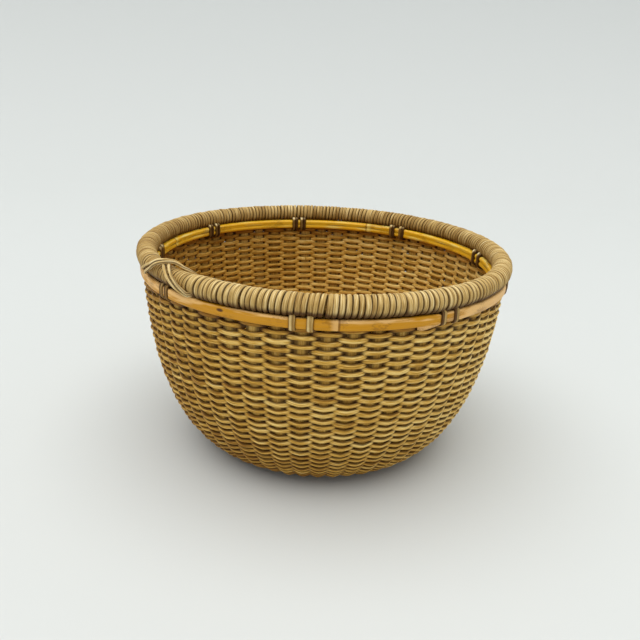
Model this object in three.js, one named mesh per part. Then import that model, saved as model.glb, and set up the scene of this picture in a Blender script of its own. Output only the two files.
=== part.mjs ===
// Woven bowl basket: upright stakes, chased weavers, and a rim hoop wound with one strand of cane.
// Millimetres, +Z up. The origin is the middle of the flat base, on the table.
// Angles round the basket run from the front, which is -Y, towards the right, which is +X.
import * as THREE from 'three';

const TURN = 2 * Math.PI;
const degrees = (angle) => angle * Math.PI / 180;

// Bowl
const height = 133.4;          // table to the top of the wound rim
const baseRadius = 60;         // the flat part that the basket stands on
const wallRadius = 114.8;      // outer crests of the weave where the wall turns upright
const fullness = 2.13;         // 2 is an ellipse, more is a fuller belly

// Weave
const stakeCount = 54;
const stakeWidth = 4.5;
const stakeThickness = 1.8;
const weaverThickness = 2.1;
const rowPitch = 2.43;         // from one row of weaving to the next, along the wall
const courseCount = 4;         // the wall is built in this many rings of rows
const firstStake = degrees(-5);

// Base
const slathRadius = 14;        // round opening in the woven base that the crossed rods fill
const rodWidth = 3.9;
const rodThickness = 2.4;
const lowerRods = 5;
const upperRods = 4;
const standOff = 0.8;          // table to the underside of the lower rods
const baseRows = 12;           // rows of crests on the base's top: broad ones, fewer than its strands

// Wound rim
const coreRadius = 3.65;       // the hoop inside the winding
const coreCorners = 4;
const wrapTurns = 240;
const strandWidth = 2.6;
const strandThickness = 1.45;
const strandThinned = 0.7;     // thickness under the crossing strands
const rimLean = 0.05;          // the rim sits this much outside the middle of the stakes
const clearance = 0.3;         // between pieces that touch

// Hoops, measured down from the middle of the rim
const outerHoopDrop = 5.5;
const outerHoopHeight = 6.2;
const outerHoopThickness = 3.2;
const innerHoopDrop = 4.4;
const innerHoopHeight = 6.5;
const innerHoopThickness = 5.7;
const ridgeDepth = 0.8;        // the groove that splits the inner hoop into two ridges
const ridgeShare = 0.2;        // of the hoop's height, from its edges to the crests of its ridges
const scarfSteps = 2;          // stakes that the two shaved ends of a hoop lie side by side over
const scarfTip = 0.7;          // thickness of a hoop's shaved end
const outerScarfStake = 4;     // the stakes where the hoops' and the core's scarfs start
const innerScarfStake = 21;
const coreScarfStake = 12;

// Lashings
const lashingPlaces = [0, 6, 11.5, 16, 23, 29.5, 35.5, 41.5, 47.5];   // in stakes; a half is between two
const strapWidth = 3;
const strapThickness = 1.4;
const strapFromStake = 0.4;    // side of a stake to the side of a strap

// Crossing strands
const crossingAngle = degrees(-49);
const crossingHalf = degrees(11.5);   // from the middle of the crossing to its ends, round the rim
const crossingFoot = degrees(-28);    // where the strands start, round the rim's section from its outside
const crossingHead = degrees(178);    // where they end, on its inside
const crossingWidth = 1.9;
const crossingThickness = 1.35;
const crossingPairGap = 0.45;
const thinEdge = degrees(3);          // the winding thickens again over this, beyond the crossing

// Steps of the round pieces
const wrapSteps = 5.4;         // per turn; the part step sets neighbouring turns' corners apart
const wrapSides = 3;
const crossingSteps = 13;
const profileSteps = 600;

// Worked-out sizes of the rim
const wrapInner = (coreRadius + clearance) / Math.cos(Math.PI / wrapSteps);
const wrapRadius = wrapInner + strandThickness;
const wallThickness = 2 * weaverThickness + stakeThickness;
const stakeOuter = wallRadius - weaverThickness;
const stakeInner = stakeOuter - stakeThickness;
const rimCentre = (stakeOuter + stakeInner) / 2 + rimLean;
const rimLevel = height - wrapRadius;
const chordShare = Math.cos(Math.PI / stakeCount);

// Worked-out sizes of the hoops
const outerHoopIn = stakeOuter + clearance;
const outerHoopOut = outerHoopIn + outerHoopThickness;
const outerHoopTop = rimLevel - outerHoopDrop;
const outerHoopBottom = outerHoopTop - outerHoopHeight;
const innerHoopOut = stakeInner - clearance;
const innerHoopIn = innerHoopOut - innerHoopThickness;
const innerHoopTop = rimLevel - innerHoopDrop;
const innerHoopBottom = innerHoopTop - innerHoopHeight;
const strapFloorTop = Math.min(outerHoopBottom, innerHoopBottom) - clearance;
const strapFloorBottom = strapFloorTop - strapThickness;
const weaveTop = strapFloorBottom - clearance;
const stakeTop = rimLevel - wrapRadius - clearance;

// A point at an angle from the front, a distance from the centre line and a height
const around = (angle, radius, level) => [radius * Math.sin(angle), -radius * Math.cos(angle), level];
const stakeAngle = (index) => firstStake + index * TURN / stakeCount;

// Outer crest line of the wall, as points with their distance along it
const crestLine = [];
for (let i = 0, run = 0, last = null; i <= profileSteps; i++) {
  const t = i / profileSteps * Math.PI / 2;
  const radius = baseRadius + (wallRadius - baseRadius) * Math.sin(t) ** (2 / fullness);
  const level = rimLevel * (1 - Math.cos(t) ** (2 / fullness));
  if (last) run += Math.hypot(radius - last.radius, level - last.level);
  last = { radius, level, run };
  crestLine.push(last);
}

// Point of the crest line where one of its values is reached
function crestWhere(key, value) {
  let i = 1;
  while (i < profileSteps && crestLine[i][key] < value) i++;
  const a = crestLine[i - 1];
  const b = crestLine[i];
  const share = THREE.MathUtils.clamp((value - a[key]) / (b[key] - a[key]), 0, 1);
  const mix = (name) => THREE.MathUtils.lerp(a[name], b[name], share);
  const length = Math.hypot(b.radius - a.radius, b.level - a.level);
  const normal = [(b.level - a.level) / length, -(b.radius - a.radius) / length];
  return { radius: mix('radius'), level: mix('level'), run: mix('run'), normal };
}

// A point of the wall: distance along the crest line, and depth below the crests
function wallPoint(angle, run, depth) {
  const at = crestWhere('run', run);
  const level = Math.max(at.level - at.normal[1] * depth, 0);
  return around(angle, at.radius - at.normal[0] * depth, level);
}

// A closed mesh that is built up from rings of points
class Body {
  constructor() {
    this.points = [];
    this.faces = [];
  }

  ring(points) {
    const first = this.points.length;
    this.points.push(...points);
    return points.map((_, i) => first + i);
  }

  // Joins two closed rings of the same count. Where crossed(i) holds, the square's other diagonal is used.
  join(a, b, crossed = () => false) {
    for (let i = 0; i < a.length; i++) {
      const j = (i + 1) % a.length;
      if (crossed(i)) this.faces.push([a[i], a[j], b[i]], [a[j], b[j], b[i]]);
      else this.faces.push([a[i], a[j], b[j]], [a[i], b[j], b[i]]);
    }
  }

  // Joins a ring to one of twice its count, whose points lie a little before and after each of its own
  joinDouble(a, b, flip) {
    const add = (x, y, z) => this.faces.push(flip ? [x, z, y] : [x, y, z]);
    for (let i = 0; i < a.length; i++) {
      const j = (i + 1) % a.length;
      add(a[i], b[2 * i + 1], b[2 * i]);
      add(a[i], a[j], b[2 * j]);
      add(a[i], b[2 * j], b[2 * i + 1]);
    }
  }

  // Closes a ring with a fan
  cap(ring, flip) {
    for (let i = 1; i + 1 < ring.length; i++) {
      this.faces.push(flip ? [ring[0], ring[i + 1], ring[i]] : [ring[0], ring[i], ring[i + 1]]);
    }
  }

  mesh(name, material) {
    const geometry = new THREE.BufferGeometry();
    geometry.setAttribute('position', new THREE.Float32BufferAttribute(this.points.flat(), 3));
    geometry.setIndex(this.faces.flat());
    geometry.computeVertexNormals();
    const mesh = new THREE.Mesh(geometry, material);
    mesh.name = name;
    return mesh;
  }
}

// A strand with a section across a path, given as frames of { centre, across, out }
function strand(frames, corners) {
  const body = new Body();
  let last = null;
  for (const { centre, across, out } of frames) {
    const ring = body.ring(corners.map(([side, up]) => new THREE.Vector3().copy(centre)
      .addScaledVector(across, side).addScaledVector(out, up).toArray()));
    if (last) body.join(last, ring);
    else body.cap(ring, true);
    last = ring;
  }
  body.cap(last, false);
  return body;
}

const paint = (color, roughness) => new THREE.MeshStandardMaterial({ color, roughness, metalness: 0 });
const basket = new THREE.Group();
basket.name = 'woven_basket';

// The wall: rings of rows. Each crossing is a crest where the weaver passes over a stake, or shows the
// stake's own face where the weaver passes behind it, and the next row changes places. The squares are
// split between the low points, so that each crest stands by itself.
const wallTop = crestWhere('level', weaveTop).run;
const rowCount = courseCount * Math.round(wallTop / rowPitch / courseCount);
const rowStep = wallTop / rowCount;
const rowsInCourse = rowCount / courseCount;
const isOver = (stake, row) => (stake + row) % 2 === 0;

function ringAt(run, depthOf) {
  const points = [];
  for (let i = 0; i < stakeCount; i++) points.push(wallPoint(stakeAngle(i), run, depthOf(i)));
  return points;
}

function stakeEdges(radius, level) {
  const half = Math.asin(stakeWidth / 2 / radius);
  const points = [];
  for (let i = 0; i < stakeCount; i++) {
    points.push(around(stakeAngle(i) - half, radius, level), around(stakeAngle(i) + half, radius, level));
  }
  return points;
}

// The top course carries the stakes' ends, which stand up between the two hoops and are shaved to an edge
function addStakeEnds(body, outerRing, innerRing) {
  const outer = body.ring(stakeEdges(stakeOuter, weaveTop));
  const inner = body.ring(stakeEdges(stakeInner, weaveTop));
  const tip = body.ring(stakeEdges((stakeOuter + stakeInner) / 2, stakeTop));
  body.joinDouble(outerRing, outer, false);
  body.joinDouble(innerRing, inner, true);
  const quad = (a, b, c, d) => body.faces.push([a, b, c], [a, c, d]);
  for (let i = 0; i < stakeCount; i++) {
    const l = 2 * i;
    const r = l + 1;
    const next = (l + 2) % (2 * stakeCount);
    quad(outer[l], outer[r], tip[r], tip[l]);
    quad(inner[r], inner[l], tip[l], tip[r]);
    body.faces.push([outer[r], inner[r], tip[r]], [inner[l], outer[l], tip[l]]);
    quad(outer[r], outer[next], inner[next], inner[r]);
  }
}

function weaveCourse(course) {
  const body = new Body();
  const isTop = course === courseCount - 1;
  const from = course * rowsInCourse * rowStep + (course === 0 ? 0 : clearance / 2);
  const to = (course + 1) * rowsInCourse * rowStep - (isTop ? rowStep / 2 : clearance / 2);
  const firstRow = course * rowsInCourse;
  const outerRings = [body.ring(ringAt(from, () => weaverThickness / 2))];
  for (let row = firstRow; row < firstRow + rowsInCourse; row++) {
    const depth = (stake) => (isOver(stake, row) ? 0 : weaverThickness);
    outerRings.push(body.ring(ringAt((row + 0.5) * rowStep, depth)));
  }
  if (!isTop) outerRings.push(body.ring(ringAt(to, () => weaverThickness / 2)));
  const innerBands = course === 0 ? 2 : 1;
  const innerRings = [];
  for (let i = 0; i <= innerBands; i++) {
    const run = THREE.MathUtils.lerp(from, to, i / innerBands);
    innerRings.push(body.ring(ringAt(run, () => wallThickness)));
  }
  for (let i = 1; i < outerRings.length; i++) {
    body.join(outerRings[i - 1], outerRings[i], (stake) => isOver(stake, firstRow + i));
  }
  for (let i = 1; i < innerRings.length; i++) body.join(innerRings[i], innerRings[i - 1]);
  body.join(innerRings[0], outerRings[0]);
  if (isTop) addStakeEnds(body, outerRings.at(-1), innerRings.at(-1));
  else body.join(outerRings.at(-1), innerRings.at(-1));
  return body;
}

const weaveColours = [0x9c7a3e, 0xa98545, 0xb48f4e, 0xbd9a58];
for (let course = 0; course < courseCount; course++) {
  const colour = weaveColours[course % weaveColours.length];
  basket.add(weaveCourse(course).mesh(`weave_course_${course + 1}`, paint(colour, 0.75)));
}

// The base: a woven ring round the slath, which is two layers of crossed rods. The rods' ends go on as
// spokes that the weavers cross, which shows on top. The underside is plain, and the basket rests on it.
const baseEdge = baseRadius - clearance;
const spokeCount = 2 * (lowerRods + upperRods);
const baseBody = new Body();

function baseRing(radius, levelAt) {
  const points = [];
  for (let i = 0; i < spokeCount; i++) {
    points.push(around(firstStake + i * TURN / spokeCount, radius, levelAt(i)));
  }
  return baseBody.ring(points);
}

const halfDown = () => wallThickness - weaverThickness / 2;
const baseRings = [baseRing(slathRadius, () => 0), baseRing(baseEdge, () => 0), baseRing(baseEdge, halfDown)];
for (let row = baseRows - 1; row >= 0; row--) {
  const radius = THREE.MathUtils.lerp(slathRadius, baseEdge, (row + 0.5) / baseRows);
  baseRings.push(baseRing(radius, (i) => wallThickness - (isOver(i, row) ? 0 : weaverThickness)));
}
baseRings.push(baseRing(slathRadius, halfDown));
baseRings.forEach((ring, n) => {
  const row = baseRows + 2 - n;
  baseBody.join(ring, baseRings[(n + 1) % baseRings.length], (i) => row < baseRows && isOver(i, row));
});
basket.add(baseBody.mesh('base_weave', paint(0x96753c, 0.8)));

// One rod of the slath: as long as the round opening allows where it lies
function slathRod(place, level) {
  const far = Math.abs(place) + rodWidth / 2;
  const reach = slathRadius * Math.cos(Math.PI / spokeCount) - clearance;
  const length = 2 * Math.sqrt(reach * reach - far * far);
  const geometry = new THREE.BoxGeometry(length, rodWidth, rodThickness);
  geometry.translate(0, place, level + rodThickness / 2);
  return geometry;
}

function addRods(count, level, turn, layer) {
  for (let i = 0; i < count; i++) {
    const place = (i - (count - 1) / 2) * (rodWidth + clearance);
    const rod = new THREE.Mesh(slathRod(place, level), paint(0xa07c40, 0.7));
    rod.name = `slath_${layer}_rod_${i + 1}`;
    rod.rotation.z = turn;
    basket.add(rod);
  }
}
addRods(lowerRods, standOff, 0, 'lower');
addRods(upperRods, standOff + rodThickness + clearance, Math.PI / 2, 'upper');

// Height at which a piece at this radius just clears the winding from below
function underWrap(radius) {
  const reach = wrapRadius + clearance;
  return rimLevel - Math.sqrt(Math.max(reach * reach - (radius - rimCentre) ** 2, 0));
}

// Distance from the middle of the rim's section at which a piece at this height just clears the winding
function besideWrap(level) {
  const reach = wrapRadius + clearance;
  return Math.sqrt(Math.max(reach * reach - (level - rimLevel) ** 2, 0));
}

// A hoop is bent from one strip. Over the scarf its two ends are shaved down to a tip and lie side by
// side. The last end lies on the outside where lastOutside holds, and on the inside of the first end
// otherwise. Sections are [radius, level], clockwise.
function scarfedHoop(section, start, lastOutside, trim) {
  const radii = section.map(([radius]) => radius);
  const inside = Math.min(...radii);
  const full = Math.max(...radii) - inside;
  const step = TURN / stakeCount;
  const scarf = scarfSteps * step;
  const notch = 2 * clearance / inside;
  const gap = clearance / full / 2;
  const tip = scarfTip / full;
  const shaved = (angle) => THREE.MathUtils.lerp(tip, 1 - tip, angle / scarf);
  const inner = (share) => [0, share - gap];
  const outer = (share) => [1 - share + gap, 1];
  const firstEnd = lastOutside ? inner : outer;
  const lastEnd = lastOutside ? outer : inner;
  const places = [];
  for (let i = 0; i <= scarfSteps; i++) places.push([i * step, ...firstEnd(shaved(i * step))]);
  places.push([scarf + notch, 0, 1]);
  for (let i = scarfSteps + 1; i < stakeCount; i++) places.push([i * step, 0, 1]);
  places.push([TURN - notch, 0, 1]);
  for (let i = 0; i <= scarfSteps; i++) places.push([TURN + i * step, ...lastEnd(1 - shaved(i * step))]);
  const body = new Body();
  let last = null;
  for (const [angle, low, high] of places) {
    const ring = body.ring(section.map(([radius, level]) => {
      const at = inside + full * THREE.MathUtils.lerp(low, high, (radius - inside) / full);
      return around(start + angle, at, trim(at, level));
    }));
    if (last) body.join(last, ring);
    else body.cap(ring, true);
    last = ring;
  }
  body.cap(last, false);
  return body;
}

const clearOfWrap = (radius, level) => Math.min(level, underWrap(radius));

// Outer hoop: a flat strip whose inner top edge is shaved to sit under the winding
const outerHoopSection = [
  [outerHoopIn, outerHoopBottom],
  [outerHoopIn, outerHoopTop],
  [rimCentre + besideWrap(outerHoopTop), outerHoopTop],
  [outerHoopOut, outerHoopTop],
  [outerHoopOut, outerHoopBottom],
];
basket.add(scarfedHoop(outerHoopSection, stakeAngle(outerScarfStake), true, clearOfWrap)
  .mesh('outer_hoop', paint(0xd69e4e, 0.45)));

// Inner hoop: split along its face into two rounded ridges
const ridge = innerHoopHeight * ridgeShare;
const innerHoopMiddle = innerHoopTop - innerHoopHeight / 2;
const innerHoopSection = [
  [innerHoopIn + ridgeDepth, innerHoopBottom],
  [innerHoopIn, innerHoopBottom + ridge],
  [innerHoopIn + ridgeDepth, innerHoopMiddle],
  [innerHoopIn, innerHoopTop - ridge],
  [innerHoopIn + ridgeDepth, innerHoopTop],
  [rimCentre - besideWrap(innerHoopTop), innerHoopTop],
  [innerHoopOut, innerHoopTop],
  [innerHoopOut, innerHoopBottom],
];
basket.add(scarfedHoop(innerHoopSection, stakeAngle(innerScarfStake), false, clearOfWrap)
  .mesh('inner_hoop', paint(0xcf9b32, 0.45)));

// The rim's core: a rod that the winding hides
const coreSection = [];
for (let i = 0; i < coreCorners; i++) {
  const angle = -i * TURN / coreCorners;
  coreSection.push([rimCentre + coreRadius * Math.cos(angle), rimLevel + coreRadius * Math.sin(angle)]);
}
function withinCore(radius, level) {
  const reach = Math.sqrt(Math.max(coreRadius * coreRadius - (radius - rimCentre) ** 2, 0));
  return rimLevel + THREE.MathUtils.clamp(level - rimLevel, -reach, reach);
}
basket.add(scarfedHoop(coreSection, stakeAngle(coreScarfStake), false, withinCore)
  .mesh('rim_core', paint(0x8a6a3c, 0.8)));

// A frame on the rim: angle round the basket, angle round the rim's section from its outside, distance
// from the section's middle
function rimFrame(angle, turnAngle, distance) {
  const radius = rimCentre + distance * Math.cos(turnAngle);
  const centre = new THREE.Vector3(...around(angle, radius, rimLevel + distance * Math.sin(turnAngle)));
  const outward = new THREE.Vector3(...around(angle, Math.cos(turnAngle), Math.sin(turnAngle)));
  return { centre, out: outward };
}

// How much of the full thickness the winding keeps: it is drawn down thin under the crossing strands
function windingThickness(angle) {
  const away = Math.abs(Math.atan2(Math.sin(angle - crossingAngle), Math.cos(angle - crossingAngle)));
  const share = THREE.MathUtils.smoothstep(away, crossingHalf + thinEdge, crossingHalf + 2 * thinEdge);
  return THREE.MathUtils.lerp(strandThinned, strandThickness, share);
}

// The winding: one strand that starts and ends under the crossing, with its ends a strand's width apart
const windingSteps = Math.round(wrapTurns * wrapSteps);
const windingGap = 1.5 * strandWidth / rimCentre;
const windingRings = [];
for (let i = 0; i <= windingSteps; i++) {
  const share = i / windingSteps;
  const angle = crossingAngle + windingGap / 2 + share * (TURN - windingGap);
  const turnAngle = i / wrapSteps * TURN;
  const { centre, out } = rimFrame(angle, turnAngle, wrapInner);
  const across = new THREE.Vector3(-Math.cos(angle), -Math.sin(angle), 0);
  windingRings.push({ centre, across, out, thickness: windingThickness(angle) });
}
const winding = new Body();
let lastTurn = null;
for (const { centre, across, out, thickness } of windingRings) {
  const corners = [[-strandWidth / 2, 0], [strandWidth / 2, 0], [0, thickness]];
  const ring = winding.ring(corners.map(([side, up]) => new THREE.Vector3().copy(centre)
    .addScaledVector(across, side).addScaledVector(out, up).toArray()));
  if (lastTurn) winding.join(lastTurn, ring);
  else winding.cap(ring, true);
  lastTurn = ring;
}
winding.cap(lastTurn, false);
basket.add(winding.mesh('rim_winding', paint(0xb7a474, 0.7)));

// Least gap from the winding's corners to the edges of its next turn
function leastWindingGap() {
  const corner = (step, side) => new THREE.Vector3(...winding.points[step * wrapSides + side]);
  const closest = new THREE.Vector3();
  let least = Infinity;
  for (let i = 0; i <= windingSteps; i++) {
    for (let next = i + Math.floor(wrapSteps) - 1; next <= i + Math.ceil(wrapSteps); next++) {
      if (next >= windingSteps) break;
      for (let a = 0; a < wrapSides; a++) {
        for (let b = 0; b < wrapSides; b++) {
          new THREE.Line3(corner(next, b), corner(next + 1, b)).closestPointToPoint(corner(i, a), true, closest);
          least = Math.min(least, closest.distanceTo(corner(i, a)));
        }
      }
    }
  }
  return least;
}
console.log(`winding: ${wrapTurns} turns, least gap to itself ${leastWindingGap().toFixed(2)} mm`);

// Crossing strands: two doubled strands laid over the winding in an X. The second pair lies over the first.
function crossingStrand(slant, side, lifted) {
  const place = (share) => {
    const angle = crossingAngle + slant * crossingHalf * (2 * share - 1);
    const turnAngle = THREE.MathUtils.lerp(crossingFoot, crossingHead, share);
    const overlap = 1 - THREE.MathUtils.smoothstep(Math.abs(share - 0.5), 0.12, 0.24);
    const lift = lifted ? overlap * (crossingThickness + clearance) : 0;
    return rimFrame(angle, turnAngle, wrapInner + strandThinned + clearance + lift);
  };
  const frames = [];
  for (let i = 0; i <= crossingSteps; i++) {
    const share = i / crossingSteps;
    const { centre, out } = place(share);
    const ahead = place(share + 0.001).centre;
    const along = ahead.sub(place(share - 0.001).centre).normalize();
    const across = new THREE.Vector3().crossVectors(out, along).normalize();
    centre.addScaledVector(across, side * (crossingWidth + crossingPairGap) / 2);
    frames.push({ centre, across, out });
  }
  const half = crossingWidth / 2;
  return strand(frames, [[-half, 0], [half, 0], [half, crossingThickness], [-half, crossingThickness]]);
}
for (const [slant, lifted, name] of [[-1, false, 'under'], [1, true, 'over']]) {
  for (const side of [-1, 1]) {
    const place = side < 0 ? 'left' : 'right';
    basket.add(crossingStrand(slant, side, lifted).mesh(`crossing_${name}_${place}`, paint(0xc2b07e, 0.65)));
  }
}

// Lashings: straps in pairs, one each side of a stake, or both in one gap between two stakes. Each holds
// both hoops: down over the outer hoop, through the weave, up over the inner hoop, and in under the winding.
const stakeSpacing = TURN * stakeInner / stakeCount;
const astrideOffset = stakeWidth / 2 + strapFromStake + strapWidth / 2;
const betweenOffset = stakeSpacing / 2 - astrideOffset;
const strapFar = (astrideOffset + strapWidth / 2) ** 2 / (2 * rimCentre);
const outerLegIn = outerHoopOut + clearance;
const outerLegOut = outerLegIn + strapThickness;
const innerLegOut = innerHoopIn * chordShare - clearance;
const innerLegIn = innerLegOut - strapThickness;
const overInner = innerHoopTop + clearance;
const strapOutline = [
  [outerLegOut, strapFloorBottom],
  [outerLegOut, underWrap(outerLegIn)],
  [outerLegIn, underWrap(outerLegIn)],
  [outerLegIn, strapFloorTop],
  [innerLegOut, strapFloorTop],
  [innerLegOut, overInner],
  [rimCentre - besideWrap(overInner) - strapFar, overInner],
  [rimCentre - besideWrap(overInner + strapThickness) - strapFar, overInner + strapThickness],
  [innerLegIn, overInner + strapThickness],
  [innerLegIn, strapFloorBottom],
];
lashingPlaces.forEach((place, i) => {
  const offset = Number.isInteger(place) ? astrideOffset : betweenOffset;
  for (const side of [-1, 1]) {
    const shape = new THREE.Shape(strapOutline.map(([radius, level]) => new THREE.Vector2(radius, level)));
    const geometry = new THREE.ExtrudeGeometry(shape, { depth: strapWidth, bevelEnabled: false });
    geometry.rotateX(Math.PI / 2);
    geometry.translate(0, side * offset + strapWidth / 2, 0);
    const strap = new THREE.Mesh(geometry, paint(0xb7a474, 0.7));
    strap.name = `lashing_${i + 1}_${side < 0 ? 'left' : 'right'}`;
    strap.rotation.z = stakeAngle(place) - Math.PI / 2;
    basket.add(strap);
  }
});

export default basket;
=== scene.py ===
# %% [markdown]
# # Dressing a woven bowl basket
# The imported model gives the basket's true sizes: its wall, its hoops and its wound rim. This lesson
# gives each of them the look of the real thing, strand by strand. Nothing here moves or resizes the
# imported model: every new piece is built in the same frame and stands for the nodes that it covers.

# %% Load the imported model
import math

import bpy
import numpy as np
from mathutils import Matrix, Vector


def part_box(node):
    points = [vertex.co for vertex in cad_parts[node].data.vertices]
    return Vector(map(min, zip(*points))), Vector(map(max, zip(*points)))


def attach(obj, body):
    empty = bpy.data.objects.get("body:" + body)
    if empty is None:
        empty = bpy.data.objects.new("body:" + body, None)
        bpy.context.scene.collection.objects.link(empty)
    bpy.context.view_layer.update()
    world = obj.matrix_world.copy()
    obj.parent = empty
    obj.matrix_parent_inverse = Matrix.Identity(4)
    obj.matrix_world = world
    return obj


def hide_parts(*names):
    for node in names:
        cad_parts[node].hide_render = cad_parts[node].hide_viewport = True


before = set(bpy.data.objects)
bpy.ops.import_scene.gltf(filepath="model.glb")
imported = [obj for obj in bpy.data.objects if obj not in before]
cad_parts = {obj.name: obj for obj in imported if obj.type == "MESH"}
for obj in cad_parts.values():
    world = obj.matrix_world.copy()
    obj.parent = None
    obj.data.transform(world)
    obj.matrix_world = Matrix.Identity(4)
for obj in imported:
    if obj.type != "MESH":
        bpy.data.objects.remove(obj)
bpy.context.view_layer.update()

# %% [markdown]
# ## Sizes
# Numbers copied from the model drift away from it, so the sizes are read from the boxes of the packed
# nodes. What a box can't say, such as the number of stakes, is named once. All lengths are millimetres
# until a mesh is made. A level is a height above the table.

# %% Read the sizes of the rim, the hoops and the wall
MM = 0.001
TURN = 2 * math.pi


def span(node):
    """Outer radius, lowest level and highest level of a node, in mm."""
    low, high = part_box(node)
    return max(high[0], -low[0], high[1], -low[1]) / MM, low[2] / MM, high[2] / MM


rim_outer, _, rim_high = span("rim_winding")
_, core_low, core_high = span("rim_core")
outer_hoop_out, outer_hoop_low, outer_hoop_high = span("outer_hoop")
_, inner_hoop_low, inner_hoop_high = span("inner_hoop")
strap_low = span("lashing_1_left")[1]
wall_thickness = span("base_weave")[2]

rim_level = (core_low + core_high) / 2
winding_radius = rim_high - rim_level
rim_centre = rim_outer - winding_radius
print("rim: centre %.2f, level %.2f, winding %.2f" % (rim_centre, rim_level, winding_radius))

# %% Name what the boxes can't say
CLEARANCE = 0.3  # between pieces that touch
RIM_LEAN = 0.05  # the rim's middle lies this far outside the stakes' middle
FULLNESS = 2.13  # of the wall's curve: 2 is an ellipse, more is a fuller belly
BASE_RADIUS = 60.0  # the flat part that the basket stands on
STAKES = 54
FIRST_STAKE = math.radians(-5)
STAKE_WIDTH = 7.8  # with its thin edges
STAKE_THICKNESS = 1.8
ROWS = 56  # of weaving, from the table to the lashings
ROWS_IN_COURSE = 14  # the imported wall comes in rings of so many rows
TOP_GAP = 0.7  # from the last of them to the lashings
OUTER_HOOP_THICKNESS = 3.2
INNER_HOOP_THICKNESS = 5.7

weaver_thickness = (wall_thickness - STAKE_THICKNESS) / 2
wall_radius = rim_centre - RIM_LEAN + wall_thickness / 2
stake_outer = wall_radius - weaver_thickness
stake_inner = stake_outer - STAKE_THICKNESS
weave_top = strap_low - CLEARANCE
print("wall %.1f, thickness %.1f, weave top %.1f" % (wall_radius, wall_thickness, weave_top))

# %% [markdown]
# ## Camera
# The photograph looks down at the basket by about 21 degrees, and the camera was held a little turned,
# so the camera gets a pitch and a roll. The focal length is given in pixels of the square picture, which
# is how it comes out of a fit, and turned into a lens for Blender's sensor.

# %% Place the camera
PICTURE_WIDTH = 640
FOCAL_PIXELS = 660.0
SENSOR_WIDTH = 36.0
PITCH = math.radians(20.65)
ROLL = math.radians(2.8)
CAMERA_DISTANCE = 445.0
LOOK_AT = Vector((-0.9, 0.0, 77.6))

backward = Vector((0, -math.cos(PITCH), math.sin(PITCH)))
level_right = Vector((1, 0, 0))
level_up = backward.cross(level_right)
right = math.cos(ROLL) * level_right + math.sin(ROLL) * level_up
up = backward.cross(right)
camera = bpy.data.objects.new("photo_camera", bpy.data.cameras.new("photo_camera"))
camera.data.sensor_width = SENSOR_WIDTH
camera.data.lens = SENSOR_WIDTH * FOCAL_PIXELS / PICTURE_WIDTH
eye = (LOOK_AT + CAMERA_DISTANCE * backward) * MM
turned = Matrix((right, up, backward)).transposed().to_4x4()
camera.matrix_world = Matrix.Translation(eye) @ turned
scene = bpy.context.scene
scene.collection.objects.link(camera)
scene.camera = camera
print("camera at", [round(v / MM, 1) for v in eye], "lens %.2f mm" % camera.data.lens)

# %% [markdown]
# ## Shader maths as plain Python
# The finish of a cane strand is a sum of simple things: its own tone, streaks along its grain, dirt and
# painted shade where it dives into the weave. As node links that sum is hard to read. This class wraps a
# socket, so an expression such as `1 - dirt * 0.4` adds its Math nodes by itself, and one method adds
# any other node.


# %% Wrap a socket
class Sock:
    """A shader socket that Python's operators work on."""

    def __init__(self, tree, socket=None):
        self.tree = tree
        self.socket = socket

    def node(self, kind, settings, sockets, out=0):
        """Adds a node: its settings first, then the values or links of its sockets."""
        made = self.tree.nodes.new("ShaderNode" + kind)
        for key, value in settings.items():
            if key != "stops":
                setattr(made, key, value)
        for index, (place, colour) in enumerate(settings.get("stops", [])):
            stops = made.color_ramp.elements
            stop = stops[index] if index < 2 else stops.new(place)
            stop.position = place
            stop.color = colour
        for key, value in sockets.items():
            if isinstance(value, Sock):
                self.tree.links.new(value.socket, made.inputs[key])
            else:
                made.inputs[key].default_value = value
        return Sock(self.tree, made.outputs[out] if made.outputs else None)

    def math(self, operation, *values):
        return self.node("Math", {"operation": operation}, dict(enumerate(values)))

    def __add__(self, other):
        return self.math("ADD", self, other)

    def __sub__(self, other):
        return self.math("SUBTRACT", self, other)

    def __rsub__(self, other):
        return self.math("SUBTRACT", other, self)

    def __mul__(self, other):
        return self.math("MULTIPLY", self, other)

    __radd__ = __add__
    __rmul__ = __mul__


print("shader sockets take + - and *")

# %% [markdown]
# ### The words of a finish
# A few functions more make the materials read like a maker's notes: lay noise along the grain, turn a
# value into a mask, blend two colours by a mask. Noise is drawn in the strand's own coordinates, with few
# spots along its length and many across it, so that it comes out as streaks and not as blobs.


# %% Name the steps of a finish
def noise(grain, stretch, detail):
    """Noise from 0 to 1. stretch gives its spots to the mm: along a strand, across it and through it."""
    place = grain.node("VectorMath", {"operation": "MULTIPLY"}, {0: grain, 1: stretch})
    return place.node("TexNoise", {}, {"Vector": place, "Scale": 1.0, "Detail": detail})


def mask(value, low, high):
    """0 at low, 1 at high, and a soft rise between them."""
    settings = {"interpolation_type": "SMOOTHSTEP", "clamp": True}
    return value.node("MapRange", settings, {"Value": value, "From Min": low, "From Max": high})


def blend(share, first, second):
    return share.node("Mix", {"data_type": "RGBA"}, {0: share, 6: first, 7: second}, out=2)


def ramp(value, *stops):
    return value.node("ValToRGB", {"stops": stops}, {0: value})


def screen(red, green, blue):
    """A colour named by its screen values, 0 to 255, as the linear values that shaders use."""
    def linear(v):
        v /= 255
        return v / 12.92 if v <= 0.04045 else ((v + 0.055) / 1.055) ** 2.4
    return (linear(red), linear(green), linear(blue), 1.0)


print("a mid tan is", [round(v, 3) for v in screen(160, 120, 65)])
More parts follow.
